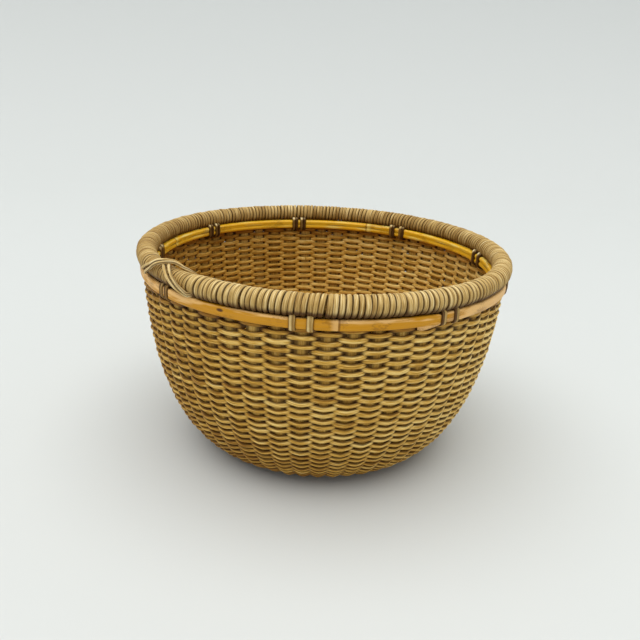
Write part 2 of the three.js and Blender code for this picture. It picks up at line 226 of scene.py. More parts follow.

# %% [markdown]
# ### What a strand tells its finish
# Every mesh below carries two vectors at each point. The first, grain, is the place on the strand in mm:
# along it, across it, and through it. The second, look, is the strand's own tone, how deep the point lies
# in the weave, which the finish paints darker as dirt and painted shade, and how near it is to the
# strand's edge. Image textures would need unwrapping, and these don't.


# %% Start a finish
class Finish:
    """A material that reads the grain and the look of its strand."""

    def __init__(self, name, roughness, specular):
        self.material = bpy.data.materials.new(name)
        self.material.use_nodes = True
        self.tree = self.material.node_tree
        self.shader = self.tree.nodes["Principled BSDF"]
        self.shader.inputs["Roughness"].default_value = roughness
        self.shader.inputs["Specular IOR Level"].default_value = specular
        root = Sock(self.tree)
        self.grain = root.node("Attribute", {"attribute_name": "grain"}, {}, out=1)
        look = root.node("Attribute", {"attribute_name": "look"}, {}, out=1)
        parts = [root.node("SeparateXYZ", {}, {0: look}, out=i) for i in range(3)]
        self.tone, self.dive, self.edge = parts
        self.along = root.node("SeparateXYZ", {}, {0: self.grain}, out=0)
        self.across = root.node("SeparateXYZ", {}, {0: self.grain}, out=1)

    def paint(self, colour):
        self.tree.links.new(colour.socket, self.shader.inputs["Base Color"])

    def rough(self, value):
        self.tree.links.new(value.socket, self.shader.inputs["Roughness"])

    def bump(self, height, depth):
        """Raises the surface by height times depth, in mm."""
        bump = height.node("Bump", {}, {"Strength": 1.0, "Distance": depth * MM, "Height": height})
        self.tree.links.new(bump.socket, self.shader.inputs["Normal"])


print("a finish reads the attributes grain and look")

# %% [markdown]
# ## Strands
# The whole basket is made of strands: flat ones, round ones, wound and woven ones. Curve objects with a
# bevel could make them, but they can't carry a tone for each crossing, and they twist. So each strand is
# swept in numpy: a rounded section is set up at each step of a path, square to it, and joined to the next.


# %% Sections of a strand
def oval(sides, power=1.0):
    """A section from -1 to 1 both ways. Power 1 is an ellipse, and less is a strip with round corners."""
    angle = np.arange(sides) * TURN / sides
    round_section = np.stack([np.cos(angle), np.sin(angle)], 1)
    return np.sign(round_section) * np.abs(round_section) ** power


def around(angle, radius, level):
    """Points at an angle round the basket: 0 is its front, and it grows towards +X."""
    return np.stack([radius * np.sin(angle), -radius * np.cos(angle), level + 0 * angle], -1)


def unit(vectors):
    return vectors / np.linalg.norm(vectors, axis=-1, keepdims=True)


print("sections:", oval(8).shape)


# %% Write a mesh
def write_mesh(name, points, faces, marks):
    """A smooth mesh from points in mm, groups of faces, and marks, which are vectors on its points.

    All faces of a group have the same number of corners.
    """
    mesh = bpy.data.meshes.new(name)
    corners = np.concatenate([group.ravel() for group in faces]).astype(np.int32)
    sizes = np.concatenate([np.full(len(group), group.shape[1]) for group in faces])
    starts = np.concatenate([[0], np.cumsum(sizes)[:-1]])
    mesh.vertices.add(len(points))
    mesh.vertices.foreach_set("co", (points * MM).astype(np.float32).ravel())
    mesh.loops.add(len(corners))
    mesh.loops.foreach_set("vertex_index", corners)
    mesh.polygons.add(len(sizes))
    mesh.polygons.foreach_set("loop_start", starts.astype(np.int32))
    mesh.polygons.foreach_set("use_smooth", np.ones(len(sizes), bool))
    for key, values in marks.items():
        layer = mesh.attributes.new(key, "FLOAT_VECTOR", "POINT")
        layer.data.foreach_set("vector", values.astype(np.float32).ravel())
    mesh.update(calc_edges=True)
    mesh.validate()
    print(name, "triangles:", int(np.sum(sizes - 2)))
    return mesh


# %% Gather strands in one mesh
SHADE_AND_DIRT_DEPTH = 2.4  # from clean crests to full dirt and painted shade
LESS_DARK_INSIDE = 1.8  # inner crests count as so many times higher, so less dirt and painted shade
INSIDE_EDGE = 0.6  # on a strand's lower side its edges count as further in


class Bundle:
    """Strands that become one mesh."""

    def __init__(self):
        self.points, self.grains, self.looks, self.faces, self.count = [], [], [], [], 0

    def add(self, path, out, wide, thick, section, tone=0.5, dive=0.0, along=0.0, rise=None):
        """Sweeps a section along a path. out points to the strand's upper side.

        dive says how deep in the weave it lies, and so how much soiling and painted shade its finish gives
        it.
        With a rise, which is how far outside the middle of the wall the path lies, each point gets its own
        depth. along is where its grain starts, so that no two strands show the same streaks.
        """
        steps, sides = len(path), len(section)
        ahead = unit(np.gradient(path, axis=0))
        across = unit(np.cross(out, ahead))
        out = np.cross(ahead, across)
        lengths = np.linalg.norm(np.diff(path, axis=0), axis=1)
        distance = along + np.concatenate([[0], np.cumsum(lengths)])
        side = section[None, :, 0] * np.broadcast_to(wide, steps)[:, None] / 2
        lift = section[None, :, 1] * np.broadcast_to(thick, steps)[:, None] / 2
        points = path[:, None] + across[:, None] * side[..., None] + out[:, None] * lift[..., None]
        grain = np.stack([np.broadcast_to(distance[:, None], side.shape), side, lift], -1)
        edge = np.abs(section[:, 0]) * np.where(section[:, 1] < 0, INSIDE_EDGE, 1.0)
        tone, dive = (np.broadcast_to(value, steps)[:, None] for value in (tone, dive))
        if rise is not None:
            height = rise[:, None] + lift
            # dirt and painted shade: the nearer a point lies to the wall's middle, the darker
            dive = dive + 1 - np.maximum(height, -LESS_DARK_INSIDE * height) / SHADE_AND_DIRT_DEPTH
        look = np.stack([np.broadcast_to(value, side.shape) for value in (tone, dive, edge)], -1)
        self.points.append(points.reshape(-1, 3))
        self.grains.append(grain.reshape(-1, 3))
        self.looks.append(look.reshape(-1, 3))
        self.join(steps, sides)

    def join(self, steps, sides):
        """Joins the sections of the last strand, and closes its two ends."""
        corner = np.arange(sides)
        beside = (corner + 1) % sides
        here = self.count + sides * np.arange(steps - 1)[:, None]
        after = here + sides
        walls = [here + corner, here + beside, after + beside, after + corner]
        self.faces.append(np.stack(walls, -1).reshape(-1, 4))
        self.faces.append(self.count + corner[::-1][None])
        self.faces.append(self.count + (steps - 1) * sides + corner[None])
        self.count += steps * sides

    def piece(self, name, material, slot, *nodes):
        """Makes the piece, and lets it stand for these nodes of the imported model."""
        marks = {"grain": np.concatenate(self.grains), "look": np.concatenate(self.looks)}
        mesh = write_mesh(name, np.concatenate(self.points), self.faces, marks)
        mesh.materials.append(material)
        ob = bpy.data.objects.new(name, mesh)
        scene.collection.objects.link(ob)
        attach(ob, "root")
        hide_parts(*nodes)


trial = Bundle()
trial.add(np.linspace([0, 0, 0], [10, 0, 0], 5), np.array([[0, 0, 1]] * 5), 2.0, 1.0, oval(8))
print("a trial strand has", trial.count, "points and is %.1f mm long" % trial.grains[0][-1, 0])

# %% [markdown]
# ### Chance, but the same each time
# Hand work is never even. A seeded generator gives a random value at each stake or turn, and a smooth
# curve joins them, so a strand wanders without kinks and comes out the same on every run. Wild values are
# cut off, because no maker would leave such a strand in.


# %% Make even things uneven
WILDEST = 2.2  # times the usual amount
rng = np.random.default_rng(20)


def smooth(value, low, high):
    share = np.clip((value - low) / (high - low), 0, 1)
    return share * share * (3 - 2 * share)


def wander(places, amount, ring=0):
    """A random value at each whole place, joined smoothly. A ring of places comes back to its start."""
    count = ring or int(np.max(places)) + 2
    values = rng.normal(0, amount, count).clip(-WILDEST * amount, WILDEST * amount)
    whole = np.floor(places).astype(int)
    share = smooth(places - whole, 0, 1)
    return values[whole % count] * (1 - share) + values[(whole + 1) % count] * share


print("a wandering line:", np.round(wander(np.linspace(0, 3, 7), 1.0), 2))

# %% [markdown]
# ## The wall's line
# From the side, the outside of the weave follows one curve: flat under the base, then a quarter of a
# superellipse up to the rim. Everything in the wall is placed by its run, the distance along that curve
# from the edge of the base, and by its depth below the outer crests. Under the base the run is negative.

# %% Follow the wall from the base to the rim
CURVE_POINTS = 3000
SLOPE_STEP = 0.5  # half the run over which the wall's slope is measured
quarter = np.linspace(0, math.pi / 2, CURVE_POINTS)
crest_radius = BASE_RADIUS + (wall_radius - BASE_RADIUS) * np.sin(quarter) ** (2 / FULLNESS)
crest_level = rim_level * (1 - np.cos(quarter) ** (2 / FULLNESS))
crest_steps = np.hypot(np.diff(crest_radius), np.diff(crest_level))
crest_run = np.concatenate([[0], np.cumsum(crest_steps)])


def crest(run):
    """Radius and level of the outer crests at a run."""
    radius = np.interp(run, crest_run, crest_radius) + np.minimum(run, 0)
    return radius, np.interp(run, crest_run, crest_level)


def wall(angle, run, depth):
    """Points in the wall, and the directions that point out of it there."""
    radius, level = crest(run)
    before, after = crest(run - SLOPE_STEP), crest(run + SLOPE_STEP)
    length = np.hypot(after[0] - before[0], after[1] - before[1])
    rise, spread = (after[1] - before[1]) / length, (after[0] - before[0]) / length
    points = around(angle, radius - rise * depth, level + spread * depth)
    return points, around(angle, rise, -spread)


run_top = float(np.interp(weave_top, crest_level, crest_run))
row_pitch = (run_top - TOP_GAP) / ROWS
stake_top = rim_level - winding_radius - CLEARANCE
stake_top_run = float(np.interp(stake_top, crest_level, crest_run))
print("the weave runs %.1f mm up the wall in rows of %.2f mm" % (run_top, row_pitch))
print("the stakes run %.1f mm up the wall" % stake_top_run)
print("rows behind the hoops: at most %.1f" % ((stake_top_run - run_top) / row_pitch))

# %% [markdown]
# ## Cane
# Weavers, stakes and winding are split cane or a like stem: a tan that is nowhere even. Each strand has
# its own tone, and pale and dark streaks follow its fibres. Where a strand dives into the weave, in every
# groove and along its edges it is painted brown: partly dirt from years of handling, partly painted shade
# that deepens what the light alone gives. One function paints them all, and each use gives its own four
# colours.


# %% Finish of split cane
CANE_SHINE = 0.22
CANE_BUMP = 0.22
CANE_STREAKS = (0.05, 1.5, 1.5)
CANE_FIBRES = (0.16, 3.5, 3.5)
CANE_PATCHES = (0.06, 0.12, 0.12)


def cane(name, groove, deep, body, pale, roughness, streaks, fine, dirt_and_shade, edge, rim):
    """Cane in four colours, the first for soiled places and painted shade.

    From the middle of a strand, which is 0, to its side, 1, soiling and painted shade along its edges
    start at edge and are full at rim.
    """
    finish = Finish(name, roughness, CANE_SHINE)
    long_streaks = noise(finish.grain, CANE_STREAKS, 3.0)
    fibres = noise(finish.grain, CANE_FIBRES, 3.0)
    patches = noise(finish.grain, CANE_PATCHES, 1.0)
    shade = finish.tone + (long_streaks - 0.5) * streaks
    shade = shade + (fibres - 0.5) * fine + (patches - 0.5) * 0.4
    colour = ramp(shade, (0.1, deep), (0.5, body), (0.9, pale))
    # soiling and painted shade where the strand lies deep in the weave
    deep_dirt_and_shade = mask(finish.dive + (patches - 0.5) * 0.3, 0.22, 0.72) * dirt_and_shade
    # soiling and painted shade towards the strand's edges
    edges = mask(finish.edge + (fibres + patches - 1.0) * 0.3, edge, rim) * (dirt_and_shade * 0.8)
    colour = blend(deep_dirt_and_shade, colour, groove)
    colour = blend(edges, colour, groove)
    finish.paint(colour)
    finish.bump(fibres * 0.7 + long_streaks * 0.6, CANE_BUMP)
    return finish.material


# In each finish below, the first colour and the last three values paint soiling and painted shade.
weaver_cane = cane("weaver_cane", screen(66, 36, 8), screen(150, 102, 27), screen(210, 162, 65),
                   screen(246, 212, 130), roughness=0.58, streaks=1.5, fine=1.4,
                   dirt_and_shade=0.92, edge=0.54, rim=0.96)
# a stake is painted dark from near its middle to its edges: the shade in the holes beside it, and soiling
stake_cane = cane("stake_cane", screen(64, 36, 8), screen(140, 98, 32), screen(196, 150, 64),
                  screen(230, 192, 108), roughness=0.66, streaks=1.1, fine=0.6,
                  dirt_and_shade=0.95, edge=0.2, rim=0.75)
# each turn is painted darker towards its sides, as painted shade across its round section and in the
# grooves
winding_cane = cane("winding_cane", screen(72, 42, 10), screen(138, 101, 44), screen(200, 166, 98),
                    screen(250, 228, 172), roughness=0.55, streaks=0.9, fine=1.5,
                    dirt_and_shade=0.95, edge=0.55, rim=1.0)
print("cane finishes:", weaver_cane.name, stake_cane.name, winding_cane.name)

# %% [markdown]
# ## Weavers
# The wall is a plain weave: over one stake, under the next, and the next row changes places. With an even
# number of stakes a row can't run on into the next, so each row is a strand of its own that goes round
# once, and its two ends meet behind a stake, where they don't show. Its depth swings through the wall: it
# bends round a stake, then runs straight to the next one, so the swing is mostly a cosine and partly a
# plain zigzag. A squarer swing would leave slanting holes between the rows, and this basket's wall is
# tight.

# %% Name the measures of a row
WEAVER_HEIGHT = 2.66  # on a crest
WEAVER_SWELL = 0.36  # the share that it is taller and thicker by on its way through the wall
WEAVE_STEPS = 10  # from one stake to the next
ROUND_SWING = 0.7  # the cosine in the swing
ZIGZAG_SWING = 0.3
ROW_WANDER = 0.24
ROW_WAVE = 0.3
ROWS_FOR_A_MM = 20  # in so many rows up the wall, crests may stand proud of it by 1 mm more
ROW_SHIFT = 900.0  # of the grain, from row to row
WEAVER_TONE = 0.54
# painted light: the right side paler and the left darker
PAINTED_SIDE_LIGHT = 0.22
SHADED_TONE = 0.42  # painted shade: darker by this, and deeper in the weave by the next share of it
SHADE_AS_DEPTH = 0.5
SHADED_TOP = (ROWS - 2, ROWS)  # the rows in which painted shade darkens a weaver towards the hoops
SHADED_FOOT = (-4, 30)  # and it fades away from the table
weaver_section = oval(10, 0.8)
print("a weaver is %.2f mm thick on a crest" % weaver_thickness)


# %% Weave round a ring of stakes
def weave(stakes, rows):
    """One strand for each row. The wall starts with row 0, and the base's rows have numbers below 0.

    The top rows lie behind the hoops, and the top and lowest rows are painted darker, as shade. The right
    side is painted paler and the left darker, as light and shade. No crest reaches below the table.
    """
    bundle = Bundle()
    for row in rows:
        first_place = 2 * int(rng.integers(stakes // 2)) + 1 + row % 2
        places = first_place + np.arange(stakes * WEAVE_STEPS + 1) / WEAVE_STEPS
        angle = FIRST_STAKE + places * TURN / stakes
        phase = (places + row) % 2
        hug = ROUND_SWING * np.cos(math.pi * phase) + ZIGZAG_SWING * (2 * np.abs(phase - 1) - 1)
        run = row_pitch * (row + 0.5) + wander(places, ROW_WANDER, stakes)
        run = run + ROW_WAVE * np.sin(3 * angle + row / 4)
        rise = hug * ((STAKE_THICKNESS + weaver_thickness) / 2 + wander(places, 0.1, stakes))
        swell = 1 + WEAVER_SWELL * (1 - np.abs(hug))
        tall = WEAVER_HEIGHT * swell * (1 + wander(places, 0.1, stakes))
        thick = weaver_thickness * swell * (1 + wander(places, 0.05, stakes))
        rise = np.minimum(rise, (wall_thickness - thick) / 2 + max(row, 0) / ROWS_FOR_A_MM)
        # painted shade on the top rows, behind the hoops, and on the lowest rows, near the table
        shaded = SHADED_TONE * max(smooth(row, *SHADED_TOP), 1 - smooth(row, *SHADED_FOOT))
        # painted light: paler on the right, darker on the left
        tone = WEAVER_TONE - shaded + PAINTED_SIDE_LIGHT * np.sin(angle)
        tone = tone + rng.normal(0, 0.05) + wander(places, 0.08, stakes)
        path, out = wall(angle, run, wall_thickness / 2 - rise)
        dive = SHADE_AS_DEPTH * shaded
        bundle.add(path, out, tall, thick, weaver_section, tone, dive, ROW_SHIFT * row, rise)
    return bundle


# %% Weave the wall
HIDDEN_ROWS = 3  # behind the hoops

for course in range(ROWS // ROWS_IN_COURSE):
    last = (course + 1) * ROWS_IN_COURSE
    rows = range(course * ROWS_IN_COURSE, last if last < ROWS else last + HIDDEN_ROWS)
    weave(STAKES, rows).piece(f"wall_weavers_{course + 1}", weaver_cane, "weavers_and_stakes",
                              f"weave_course_{course + 1}")

# %% [markdown]
# ## Stakes
# The stakes are flat uprights with thin edges that the weavers pass in front of and behind. They show as
# short bars between the crests, and inside as much as outside. Each runs from under the base to just below
# the wound rim. It narrows towards the middle of the base, where there is less room, and a little at its
# top, behind the hoops. Bent boxes could stand for them, but a swept strand follows the wall's line by
# itself.

# %% Set up the stakes
STAKE_FOOT_RUN = -16.0
STAKE_STEPS = 66
STRETCH = 14  # mm of a stake between two random values
SWAY = 0.2  # mm sideways, where the wall's radius is SWAY_RADIUS
SWAY_RADIUS = 100
FOOT_WIDTH = 0.6  # of the full width, which a stake has from FULL_WIDTH_RUN on
FULL_WIDTH_RUN = 30
TOP_LOSS = 0.12
STAKE_TONE = 0.53
# dirt and painted shade, as for a stake deep in the weave
STAKE_DIVE = 0.28
STAKE_SHIFT = 300
stakes = Bundle()
for index in range(STAKES):
    run = np.linspace(STAKE_FOOT_RUN, stake_top_run, STAKE_STEPS)
    places = (run - STAKE_FOOT_RUN) / STRETCH
    angle = FIRST_STAKE + index * TURN / STAKES + wander(places, SWAY) / SWAY_RADIUS
    grown = FOOT_WIDTH + (1 - FOOT_WIDTH) * smooth(run, STAKE_FOOT_RUN, FULL_WIDTH_RUN)
    width = STAKE_WIDTH * grown * (1 + wander(places, 0.03))
    width = width * (1 - TOP_LOSS * smooth(run, run_top - 3, run_top + 2))
    path, out = wall(angle, run, wall_thickness / 2 + 0 * run)
    # painted shade towards the middle of the base
    shaded = SHADED_TONE * (1 - smooth(run, -10, 70))
    tone = STAKE_TONE - shaded + wander(places, 0.08) + rng.normal(0, 0.1)
    dive = STAKE_DIVE + SHADE_AS_DEPTH * shaded
    stakes.add(path, out, width, STAKE_THICKNESS, oval(12, 0.8), tone, dive, STAKE_SHIFT * index)
stakes.piece("stakes", stake_cane, "weavers_and_stakes")

# %% [markdown]
# ## The middle of the base
# The first pieces of such a basket are crossed rods: here five lie under four. Their eighteen ends bend
# apart like the spokes of a wheel, shaved thin and wide, and the first weavers go round those spokes.
# Further out the stakes take over. Each rod is one path: straight through the cross, and blended into its
# spoke beyond it.

# %% Cross the rods and fan them out
ROD_PITCH = 4.2
ROD_WIDTH = 3.9
ROD_THICKNESS = 2.4
ROD_STEPS = 64
ROD_TONE = 0.42
# dirt and painted shade, as for a rod deep in the weave
ROD_DIVE = 0.25
ROD_SHIFT = 200
BEND = (9, 17)  # how far from the middle a rod starts to bend, and has the direction of its spoke
CLIMB = (9, 19)  # where it leaves its own layer, and lies in the middle of the weave
SHAVING = (12, 40)  # where it starts to be shaved, and is at its thinnest and widest
WIDER = 0.9
THINNER = 0.3
SPOKES = 18
SPOKE_SHIFT = math.radians(5)
SPOKE_END = 47.0


def rods(count, level, heading):
    """Rods side by side. heading turns them: 0 lies along +X, a quarter turn along +Y."""
    bundle = Bundle()
    for index in range(count):
        place = index - (count - 1) / 2
        reach = np.linspace(-SPOKE_END, SPOKE_END, ROD_STEPS)
        fan = place * TURN / SPOKES * np.sign(reach) + SPOKE_SHIFT
        fanned = smooth(np.abs(reach), *BEND)
        x = reach * (1 - fanned) + reach * np.cos(fan) * fanned
        y = place * ROD_PITCH * (1 - fanned) + reach * np.sin(fan) * fanned
        z = level + (wall_thickness / 2 - level) * smooth(np.abs(reach), *CLIMB)
        turned_x = x * math.cos(heading) - y * math.sin(heading)
        turned_y = x * math.sin(heading) + y * math.cos(heading)
        path = np.stack([turned_x, turned_y, z], -1)
        down = np.broadcast_to([0.0, 0.0, -1.0], path.shape)
        shaved = smooth(np.abs(reach), *SHAVING)
        wide = ROD_WIDTH * (1 + WIDER * shaved)
        thick = ROD_THICKNESS * (1 - THINNER * shaved)
        tone = ROD_TONE + rng.normal(0, 0.12)
        bundle.add(path, down, wide, thick, oval(12, 0.75), tone, ROD_DIVE, ROD_SHIFT * index)
    return bundle


lower_level = (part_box("slath_lower_rod_1")[0].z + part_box("slath_lower_rod_1")[1].z) / 2 / MM
upper_level = (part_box("slath_upper_rod_1")[0].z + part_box("slath_upper_rod_1")[1].z) / 2 / MM
rods(5, lower_level, 0.0).piece("slath_lower_rods", stake_cane, "slath_rods",
                                *[f"slath_lower_rod_{i + 1}" for i in range(5)])
rods(4, upper_level, math.pi / 2).piece("slath_upper_rods", stake_cane, "slath_rods",
                                        *[f"slath_upper_rod_{i + 1}" for i in range(4)])

# %% Weave the base
EDGE_ROWS = 6  # round the stakes
MIDDLE_ROWS = 13  # round the spokes
middle = weave(SPOKES, range(-EDGE_ROWS - MIDDLE_ROWS, -EDGE_ROWS))
middle.piece("base_weavers_middle", weaver_cane, "weavers_and_stakes")
edge = weave(STAKES, range(-EDGE_ROWS, 0))
edge.piece("base_weavers_edge", weaver_cane, "weavers_and_stakes", "base_weave")

# %% [markdown]
# ## The wound rim
# The rim is a rod wound with one long strand, about 250 turns of it. A Screw modifier could wind it, but
# with every turn alike, so the strand is swept along its own helix, bent round a ring. Its width follows
# the room that each turn has, more on the outside than on the inside, and each turn leans, swells and
# colours a little by itself. Light and shade are painted on it: it is paler on top and at the front, and
# darker underneath, at the back and on the left. Underneath, it is darker still where the front lashing
# goes in under it. It is a little finer at the back. Where strands cross over the rim it is finer still
# and drawn down thin, so that they lie nearly flush, and painted darker there as their shade.

# %% The rod inside
CORE_STEPS = 180


def on_rim(angle, turn, distance):
    """Points on the rim's round section, and the directions that point out of it."""
    points = around(angle, rim_centre + distance * np.cos(turn), rim_level + distance * np.sin(turn))
    return points, around(angle, np.cos(turn), np.sin(turn))


core = Bundle()
angle = np.linspace(0, TURN, CORE_STEPS + 1)
path, out = on_rim(angle, 0 * angle, 0.0)
core.add(path, out, core_high - core_low, core_high - core_low, oval(12), 0.3)
core.piece("rim_rod", stake_cane, "rim_core", "rim_core")

# %% Space the turns
CROSSING_ANGLE = math.radians(-49)
CROSSING_HALF = math.radians(11.5)
TURNS = 252
WINDING_STEPS = 28  # to a turn
CLOSER_AT_CROSSING = 0.3
FINER_BEHIND = 0.05
share = np.linspace(0, 1, TURNS * WINDING_STEPS + 1)
places = share * TURNS
turn = places * TURN
near = np.abs(share - np.round(share)) * TURN
loose = 1 - CLOSER_AT_CROSSING * (1 - smooth(near, CROSSING_HALF, CROSSING_HALF * 1.4))
loose = loose * (1 + FINER_BEHIND * np.cos(CROSSING_ANGLE + share * TURN))
swept = np.concatenate([[0], np.cumsum((loose[1:] + loose[:-1]) / 2)])
angle = CROSSING_ANGLE + swept / swept[-1] * TURN
pitch = loose / swept[-1] * TURN * WINDING_STEPS
widest, finest = pitch.max() * rim_centre, pitch.min() * rim_centre
print("turns are %.2f to %.2f mm apart" % (finest, widest))

# %% Wind the rim
WINDING_THICKNESS = 2.1
THIN_WINDING = 1.35
THIN_SINK = 0.75  # how much lower the thin turns lie
THIN_ENDS = (0.05, 0.1)  # radians beyond the crossing, over which the turns get thicker again
TURN_WIDTH = 0.97  # of the room that it has
thin = smooth(near, CROSSING_HALF + THIN_ENDS[0], CROSSING_HALF + THIN_ENDS[1])
proud = wander(places, 0.1) + wander(places / 4, 0.06)
thick = THIN_WINDING + (WINDING_THICKNESS - THIN_WINDING) * thin
crest_at = winding_radius - THIN_SINK * (1 - thin) + proud * thin
local = rim_centre + crest_at * np.cos(turn)
shift = pitch * (wander(places, 0.07) + 0.07 * np.cos(turn + 0.6) * wander(places, 1.0))
path, out = on_rim(angle + shift, turn, crest_at - thick / 2)
width = pitch * local * (TURN_WIDTH + wander(places, 0.08))
print("the winding is %.1f to %.1f mm wide" % (width.min(), width.max()))

# %% Colour the winding
WINDING_TONE = 0.34
UNDER_SHADE = 0.68
TANGLE_DARKENING = 0.4
TANGLE_HALF = 10  # mm
FRONT_TANGLE = math.radians(-3)
# painted light and shade: paler at the front, darker at the back and on the left
lit_tone = WINDING_TONE + 0.07 * np.cos(angle) - 0.06 * smooth(-np.sin(angle), 0.5, 1.0)
# painted shade under the crossing strands, where the turns are thin
lit_tone = lit_tone - 0.12 * (1 - thin)
# painted light: paler on top of each turn, darker underneath
tone = lit_tone + 0.1 * np.sin(turn) + wander(places, 0.03)
tone = tone + wander(places * 3, 0.04) + wander(places / 12, 0.04)
# painted shade underneath the rim
under = smooth(-np.sin(turn), -0.3, 0.8)
# darker still underneath where the front lashing goes in
from_tangle = (angle - FRONT_TANGLE + TURN / 2) % TURN - TURN / 2
tangled = np.exp(-(from_tangle * rim_centre / TANGLE_HALF) ** 4) * smooth(-np.sin(turn), 0.2, 0.8)
dive = UNDER_SHADE * under + TANGLE_DARKENING * tangled
winding = Bundle()
winding.add(path, out, width, thick, oval(12, 0.85), tone, dive)
winding.piece("rim_winding_strand", winding_cane, "winding_cane", "rim_winding")

# %% [markdown]
# ### The crossing
# At one place two doubled strands are laid over the winding in an X, which hides where the winding
# starts and ends. The second pair arches over the first, so its height rises in the middle. The ends are
# tucked in under the next turns. Points picked by hand would miss the round rim, so a strand is laid out
# by its angle round the basket and its turn round the rim.

# %% Lay the crossing strands
CROSSING_WIDTH = 1.8
CROSSING_THICKNESS = 1.7
CROSSING_GAP = 0.95  # between the two strands of a pair
CROSSING_STEPS = 60
CROSSING_TONE = 0.58
SUNK = 0.5  # into the room over the thin turns
TUCK = 1.3  # further in at the ends


def crossing_pair(name, slant, shift, foot, head, lifted):
    """Two strands side by side over the rim, from its turn foot to its turn head.

    A turn of 0 is outside, and a quarter turn is on top. A lifted pair, 1, arches over the other, 0.
    """
    for side, place in ((-1, "left"), (1, "right")):
        share = np.linspace(0, 1, CROSSING_STEPS)
        angle = CROSSING_ANGLE + shift + slant * CROSSING_HALF * (2 * share - 1)
        turn = foot + (head - foot) * share
        hump = 1 - smooth(np.abs(share - 0.5), 0.08, 0.26)
        tucked = TUCK * smooth(np.abs(share - 0.5), 0.46, 0.5)
        distance = winding_radius - SUNK + CROSSING_THICKNESS * (0.5 + lifted * hump) - tucked
        path, out = on_rim(angle, turn, distance)
        across = unit(np.cross(out, unit(np.gradient(path, axis=0))))
        spread = side * (CROSSING_WIDTH + CROSSING_GAP) / 2 * (1 + 0.15 * np.sin(share * 5 + side))
        path = path + across * spread[:, None]
        wide = CROSSING_WIDTH * (1 + wander(share * 8, 0.05))
        tone = CROSSING_TONE + wander(share * 8, 0.1)
        strand = Bundle()
        strand.add(path, out, wide, CROSSING_THICKNESS, oval(12), tone, 0.0, 90 * side + 200 * slant)
        node = f"crossing_{name}_{place}"
        strand.piece(node + "_strand", winding_cane, "winding_cane", node)


crossing_pair("under", -1, math.radians(1.2), math.radians(-50), math.radians(185), 0.0)
crossing_pair("over", 1, 0.0, math.radians(-30), math.radians(185), 1.0)

# %% [markdown]
# ## Bamboo hoops
# Two split bamboo strips hold the wall between them. The outer one is worn: pale pink where it is rubbed,
# orange-yellow elsewhere, with brown bruises, and with a painted pale sheen at its sides, more on the
# right, and painted light on its slipped end. The inner one is glossier and golden, and split along its
# face into two ridges, with painted shade in the split. Both show the nodes of the stem: a thin dark line
# across, and a paler band beside it. On strips as worn as these a node is colour more than shape, so the
# finish paints it. It is named by its angle round the basket, and found by its distance along the strip.


# %% Find a place along a hoop
OUTER_SCARF_START = math.radians(25.5)
INNER_SCARF_START = math.radians(137)


def along_hoop(degrees, start, radius):
    """How far along a hoop an angle lies, in mm from the hoop's first end."""
    return (math.radians(degrees) - start) % TURN * radius


outer_nodes = [along_hoop(degrees, OUTER_SCARF_START, wall_radius) for degrees in (4.7, -84, 96, 190)]
inner_nodes = [along_hoop(degrees, INNER_SCARF_START, stake_inner - 3) for degrees in (-103, 162.5, 60)]
outer_scars = [(along_hoop(-26.1, OUTER_SCARF_START, wall_radius), 0.9)]
print("nodes along the outer hoop, mm:", [round(place) for place in outer_nodes])

# %% Finish of bamboo
BAMBOO_FIBRES = (0.05, 5.0, 5.0)
BAMBOO_BANDS = (0.012, 0.9, 0.5)
BAMBOO_CLOUDS = (0.045, 0.35, 0.35)
BAMBOO_BRUISES = (0.07, 0.2, 0.2)
BAMBOO_SPECKS = (0.8, 1.6, 1.6)
BAMBOO_BUMP = 0.08


def bamboo(name, deep, body, pale_and_sheen, glow, roughness, shine, edge_paling, nodes, groove, split, scars=()):
    """Bamboo in four colours, the first for its soiled places, its dark lines and its painted shade.

    rubbing pales the upper edge, or the lower one if it is less than 0. groove says how dark it is round
    its dents, with soiling and painted shade, and split how dark down the middle of its face, as painted
    shade in that groove. A scar is a place along the strip and a level on it.
    """
    finish = Finish(name, roughness, shine)
    fibres = noise(finish.grain, BAMBOO_FIBRES, 3.0)
    bands = noise(finish.grain, BAMBOO_BANDS, 2.0)
    clouds = noise(finish.grain, BAMBOO_CLOUDS, 2.0)
    bruises = noise(finish.grain, BAMBOO_BRUISES, 1.0)
    colour = blend(mask(bands, 0.38, 0.62), body, glow)
    # pale patches and edge, and the painted sheen that the tone carries
    colour = blend(mask(clouds + finish.tone + finish.across * edge_paling, 1.02, 1.2), colour, pale_and_sheen)
    colour = blend(mask(fibres, 0.52, 0.78) * 0.35, colour, deep)
    specks = noise(finish.grain, BAMBOO_SPECKS, 2.0)
    colour = blend(mask(bruises + (specks - 0.5) * 0.5, 0.54, 0.72) * 0.4, colour, deep)
    # soiling and painted shade round the dents
    colour = blend(mask(finish.dive, 0.2, 0.9) * groove, colour, deep)
    # painted shade in the split down the middle of the face
    colour = blend((1 - mask(finish.edge, 0.03, 0.16)) * mask(clouds, 0.4, 0.6) * split, colour, deep)
    for place in nodes:
        beside = place - finish.along
        colour = blend(mask(beside, 0.3, 0.8) * (1 - mask(beside, 2.0, 5.0)) * 0.7, colour, pale_and_sheen)
        colour = blend((1 - mask(beside.math("ABSOLUTE", beside), 0.25, 0.8)) * 0.6, colour, deep)
    for place, level in scars:
        beside = (finish.along - place) * 0.45
        above = finish.across - level
        colour = blend(1 - mask(beside * beside + above * above, 0.2, 1.3), colour, screen(88, 50, 14))
    finish.paint(colour)
    finish.rough(0.1 * fibres + (roughness - 0.05))
    finish.bump(fibres, BAMBOO_BUMP)
    return finish.material


